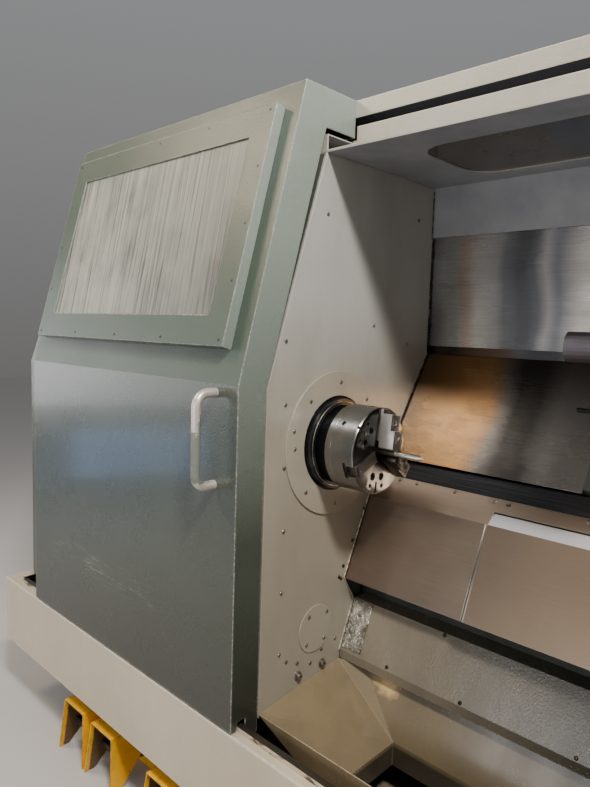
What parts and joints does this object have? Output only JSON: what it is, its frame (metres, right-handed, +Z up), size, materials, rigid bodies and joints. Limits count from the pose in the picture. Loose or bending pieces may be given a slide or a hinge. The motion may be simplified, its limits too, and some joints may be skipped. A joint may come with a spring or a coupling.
{
  "type": "cnc turning lathe",
  "caption": "Slant-bed turning lathe with a sliding door, power chuck, tool turret, tailstock, coolant tray and foot pedals",
  "frame": {"origin": "centre of the bounding box's bottom, on the floor", "axes": "+X right along the spindle, +Y to the back, +Z up"},
  "size_m": [2.9, 1.3122, 1.944],
  "materials": {
    "green_paint": "gloss enamel with a light orange peel",
    "cream_paint": "worn cream enamel",
    "yellow_paint": "chipped yellow enamel",
    "dark_paint": "dark enamel",
    "grey_casting": "painted casting",
    "bright_steel": "ground",
    "dark_steel": "black oxide",
    "stainless": "brushed sheet",
    "black_rubber": "matte",
    "clear_plastic": "scratched polycarbonate",
    "red_plastic": "gloss"
  },
  "bodies": {
    "machine": {"right_housing": "green_paint", "coolant_tray": "cream_paint", "headstock_wall": "cream_paint", "right_wall": "cream_paint", "spindle_cover_plate": "cream_paint", "access_cover": "cream_paint", "canopy": "cream_paint", "headstock_housing": "cream_paint", "bed_apron": "cream_paint", "chip_chute": "cream_paint", "rear_cabinet": "cream_paint", "pedal_guard_1": "yellow_paint", "pedal_guard_2": "yellow_paint", "pedal_guard_3": "yellow_paint", "spindle_motor": "dark_paint", "control_box": "dark_paint", "base_casting": "grey_casting", "slant_bed": "grey_casting", "headstock_casting": "grey_casting", "door_bottom_rail": "dark_steel", "door_top_rail": "dark_steel", "tailstock_way": "dark_steel", "guard_left": "stainless", "guard_right": "stainless", "spindle_seal_ring": "black_rubber", "drive_belt": "black_rubber", "lamp_glass": "clear_plastic"},
    "door": {"door_shell": "green_paint", "window_frame": "green_paint", "window_pane": "clear_plastic", "door_handle": "cream_paint"},
    "roller_left": {"door_roller_left": "dark_steel"},
    "roller_right": {"door_roller_right": "dark_steel"},
    "spindle_group": {"spindle": "dark_steel", "chuck_body": "bright_steel", "chuck_cylinder": "bright_steel", "spindle_pulley": "dark_steel", "work_bar": "bright_steel"},
    "chuck_jaw_1": {"jaw_1": "bright_steel"},
    "chuck_jaw_2": {"jaw_2": "bright_steel"},
    "chuck_jaw_3": {"jaw_3": "bright_steel"},
    "motor_drive": {"motor_pulley": "dark_steel"},
    "carriage": {"carriage_saddle": "grey_casting", "upper_cover_left": "stainless", "slant_cover_left": "stainless", "cover_right": "stainless"},
    "lead_screw": {"z_ball_screw": "bright_steel"},
    "cross_carriage": {"cross_slide": "grey_casting", "turret_housing": "dark_paint"},
    "turret": {"turret_disc": "bright_steel", "boring_bar": "dark_steel", "drill_holder": "dark_steel"},
    "tailstock": {"tailstock_body": "grey_casting"},
    "quill": {"tailstock_quill": "bright_steel"},
    "foot_pedal_1": {"pedal_1": "black_rubber"},
    "foot_pedal_2": {"pedal_2": "black_rubber"},
    "foot_pedal_3": {"pedal_3": "black_rubber"},
    "stop_button": {"emergency_button": "red_plastic"},
    "knob": {"feed_knob": "black_rubber"},
    "rear_door": {"cabinet_door": "cream_paint"}
  },
  "joints": [
    {"name": "door_slide", "type": "slide", "parent": "machine", "child": "door", "axis": [1, 0, 0], "range_m": [0, 1]},
    {"name": "roller_left_turn", "type": "hinge", "parent": "door", "child": "roller_left", "pos_m": [-1.1, -0.20448, 1.8706], "axis": [0, 1, 0], "range_deg": [0, 3184]},
    {"name": "roller_right_turn", "type": "hinge", "parent": "door", "child": "roller_right", "pos_m": [-0.3, -0.20448, 1.8706], "axis": [0, 1, 0], "range_deg": [0, 3184]},
    {"name": "spindle_turn", "type": "hinge", "parent": "machine", "child": "spindle_group", "pos_m": [-0.2, -0.24448, 1.1], "axis": [1, 0, 0], "continuous": true},
    {"name": "jaw_1_grip", "type": "slide", "parent": "spindle_group", "child": "chuck_jaw_1", "axis": [0, 0.1305, 0.9914], "range_m": [0, 0.004]},
    {"name": "jaw_2_grip", "type": "slide", "parent": "spindle_group", "child": "chuck_jaw_2", "axis": [0, -0.9239, -0.3827], "range_m": [0, 0.004]},
    {"name": "jaw_3_grip", "type": "slide", "parent": "spindle_group", "child": "chuck_jaw_3", "axis": [0, 0.7934, -0.6088], "range_m": [0, 0.004]},
    {"name": "motor_turn", "type": "hinge", "parent": "machine", "child": "motor_drive", "pos_m": [-0.95, -0.24448, 0.4], "axis": [1, 0, 0], "continuous": true},
    {"name": "carriage_slide", "type": "slide", "parent": "machine", "child": "carriage", "axis": [1, 0, 0], "range_m": [-0.3, 0.1]},
    {"name": "screw_turn", "type": "hinge", "parent": "machine", "child": "lead_screw", "pos_m": [0.3, 0.15994, 1.15709], "axis": [1, 0, 0], "range_deg": [-10801, 3601]},
    {"name": "cross_feed", "type": "slide", "parent": "carriage", "child": "cross_carriage", "axis": [0, -0.5225, -0.8526], "range_m": [-0.02, 0.13]},
    {"name": "turret_index", "type": "hinge", "parent": "cross_carriage", "child": "turret", "pos_m": [0.5, -0.05142, 1.41505], "axis": [1, 0, 0], "continuous": true},
    {"name": "tailstock_slide", "type": "slide", "parent": "machine", "child": "tailstock", "axis": [1, 0, 0], "range_m": [-0.3, 0.05]},
    {"name": "quill_feed", "type": "slide", "parent": "tailstock", "child": "quill", "axis": [1, 0, 0], "range_m": [-0.1, 0]},
    {"name": "pedal_1_press", "type": "hinge", "parent": "machine", "child": "foot_pedal_1", "pos_m": [-0.96725, -0.42408, 0.07], "axis": [1, 0, 0], "range_deg": [0, 12], "stiffness_Nm_per_rad": 20, "springref_deg": -5.73},
    {"name": "pedal_2_press", "type": "hinge", "parent": "machine", "child": "foot_pedal_2", "pos_m": [-0.80125, -0.42408, 0.07], "axis": [1, 0, 0], "range_deg": [0, 12], "stiffness_Nm_per_rad": 20, "springref_deg": -5.73},
    {"name": "pedal_3_press", "type": "hinge", "parent": "machine", "child": "foot_pedal_3", "pos_m": [-0.50225, -0.42408, 0.07], "axis": [1, 0, 0], "range_deg": [0, 12], "stiffness_Nm_per_rad": 20, "springref_deg": -5.73},
    {"name": "stop_button_push", "type": "slide", "parent": "machine", "child": "stop_button", "axis": [0, 1, 0], "range_m": [0, 0.006], "stiffness_N_per_m": 1500, "springref_m": -0.001},
    {"name": "knob_turn", "type": "hinge", "parent": "machine", "child": "knob", "pos_m": [1.08, -0.62608, 0.88], "axis": [0, 1, 0], "range_deg": [-135, 135]},
    {"name": "rear_door_swing", "type": "hinge", "parent": "machine", "child": "rear_door", "pos_m": [-1.2, 0.65612, 0.6], "axis": [0, 0, 1], "range_deg": [0, 110]}
  ],
  "couplings": [
    {"joint": "roller_left_turn", "follows": "door_slide", "rad_per_m": 55.556},
    {"joint": "roller_right_turn", "follows": "door_slide", "rad_per_m": 55.556},
    {"joint": "jaw_2_grip", "follows": "jaw_1_grip", "ratio": 1},
    {"joint": "jaw_3_grip", "follows": "jaw_1_grip", "ratio": 1},
    {"joint": "motor_turn", "follows": "spindle_turn", "ratio": 1.4667},
    {"joint": "screw_turn", "follows": "carriage_slide", "rad_per_m": 628.32}
  ]
}
